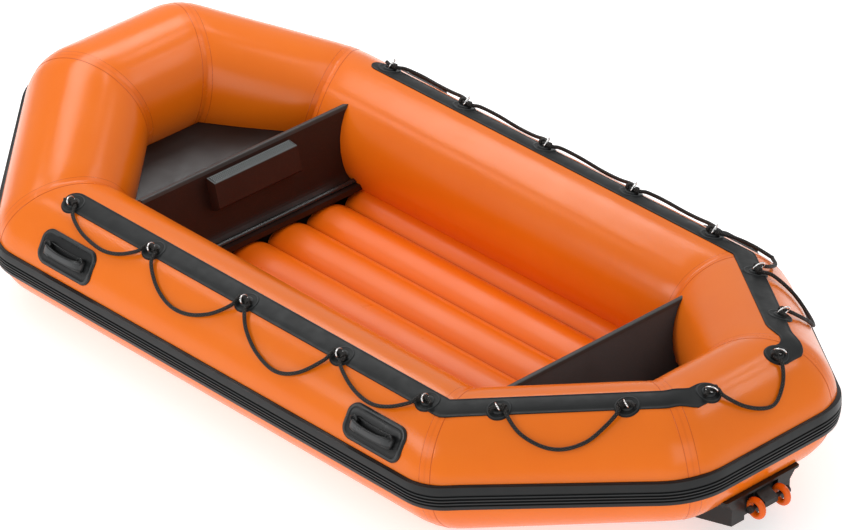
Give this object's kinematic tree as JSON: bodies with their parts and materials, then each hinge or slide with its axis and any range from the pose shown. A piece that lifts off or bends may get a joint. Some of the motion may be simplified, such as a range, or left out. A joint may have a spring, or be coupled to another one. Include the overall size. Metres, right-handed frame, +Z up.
{
  "type": "inflatable lifeboat",
  "caption": "Orange inflatable lifeboat: angular ring of air tubes with raised ends, air floor, cross boards, rubbing strake, grab lines, handles and tow rings.",
  "frame": {"origin": "on the ground under the middle of the boat's length and beam", "axes": "+X to the bow, +Y to port, +Z up"},
  "size_m": [3.336, 1.7492, 0.6461],
  "materials": {
    "orange_tube": "glossy coated fabric",
    "orange_floor": "glossy coated fabric",
    "black_rubber": "satin",
    "bow_board": "satin",
    "stern_board": "satin",
    "bottom_fabric": "satin coated fabric",
    "black_rope": "braided",
    "orange_ring": "glossy",
    "bright_eye": "polished"
  },
  "bodies": {
    "hull": {"air_floor": "orange_floor", "bottom_skin_bow": "bottom_fabric", "bottom_skin_middle": "bottom_fabric", "bottom_skin_stern": "bottom_fabric", "bow_board": "bow_board", "bow_deck": "bottom_fabric", "grab_line_port": "black_rope", "grab_line_port_quarter": "black_rope", "grab_line_starboard": "black_rope", "grab_line_stern": "black_rope", "handle_port_bow": "black_rubber", "handle_port_stern": "black_rubber", "handle_starboard_bow": "black_rubber", "handle_starboard_stern": "black_rubber", "step_pad": "bow_board", "stern_board": "stern_board", "stern_deck": "bottom_fabric", "strake_bow": "black_rubber", "strake_port_bow": "black_rubber", "strake_port_side": "black_rubber", "strake_port_stern": "black_rubber", "strake_starboard_bow": "black_rubber", "strake_starboard_side": "black_rubber", "strake_starboard_stern": "black_rubber", "strake_stern": "black_rubber", "tow_bracket": "black_rubber", "tube_bow": "orange_tube", "tube_port_bow": "orange_tube", "tube_port_side": "orange_tube", "tube_port_stern": "orange_tube", "tube_starboard_bow": "orange_tube", "tube_starboard_side": "orange_tube", "tube_starboard_stern": "orange_tube", "tube_stern": "orange_tube", "wear_strip_port": "black_rubber", "wear_strip_starboard": "black_rubber"},
    "tow_ring_port": {"tow_ring_port": "orange_ring"},
    "tow_ring_starboard": {"tow_ring_starboard": "orange_ring"}
  },
  "joints": [
    {"name": "tow_ring_port_swing", "type": "hinge", "parent": "hull", "child": "tow_ring_port", "pos_m": [-1.6285, 0.058, 0.15], "axis": [0, 1, 0], "range_deg": [-60, 60]},
    {"name": "tow_ring_starboard_swing", "type": "hinge", "parent": "hull", "child": "tow_ring_starboard", "pos_m": [-1.6285, -0.058, 0.15], "axis": [0, 1, 0], "range_deg": [-60, 60]}
  ]
}
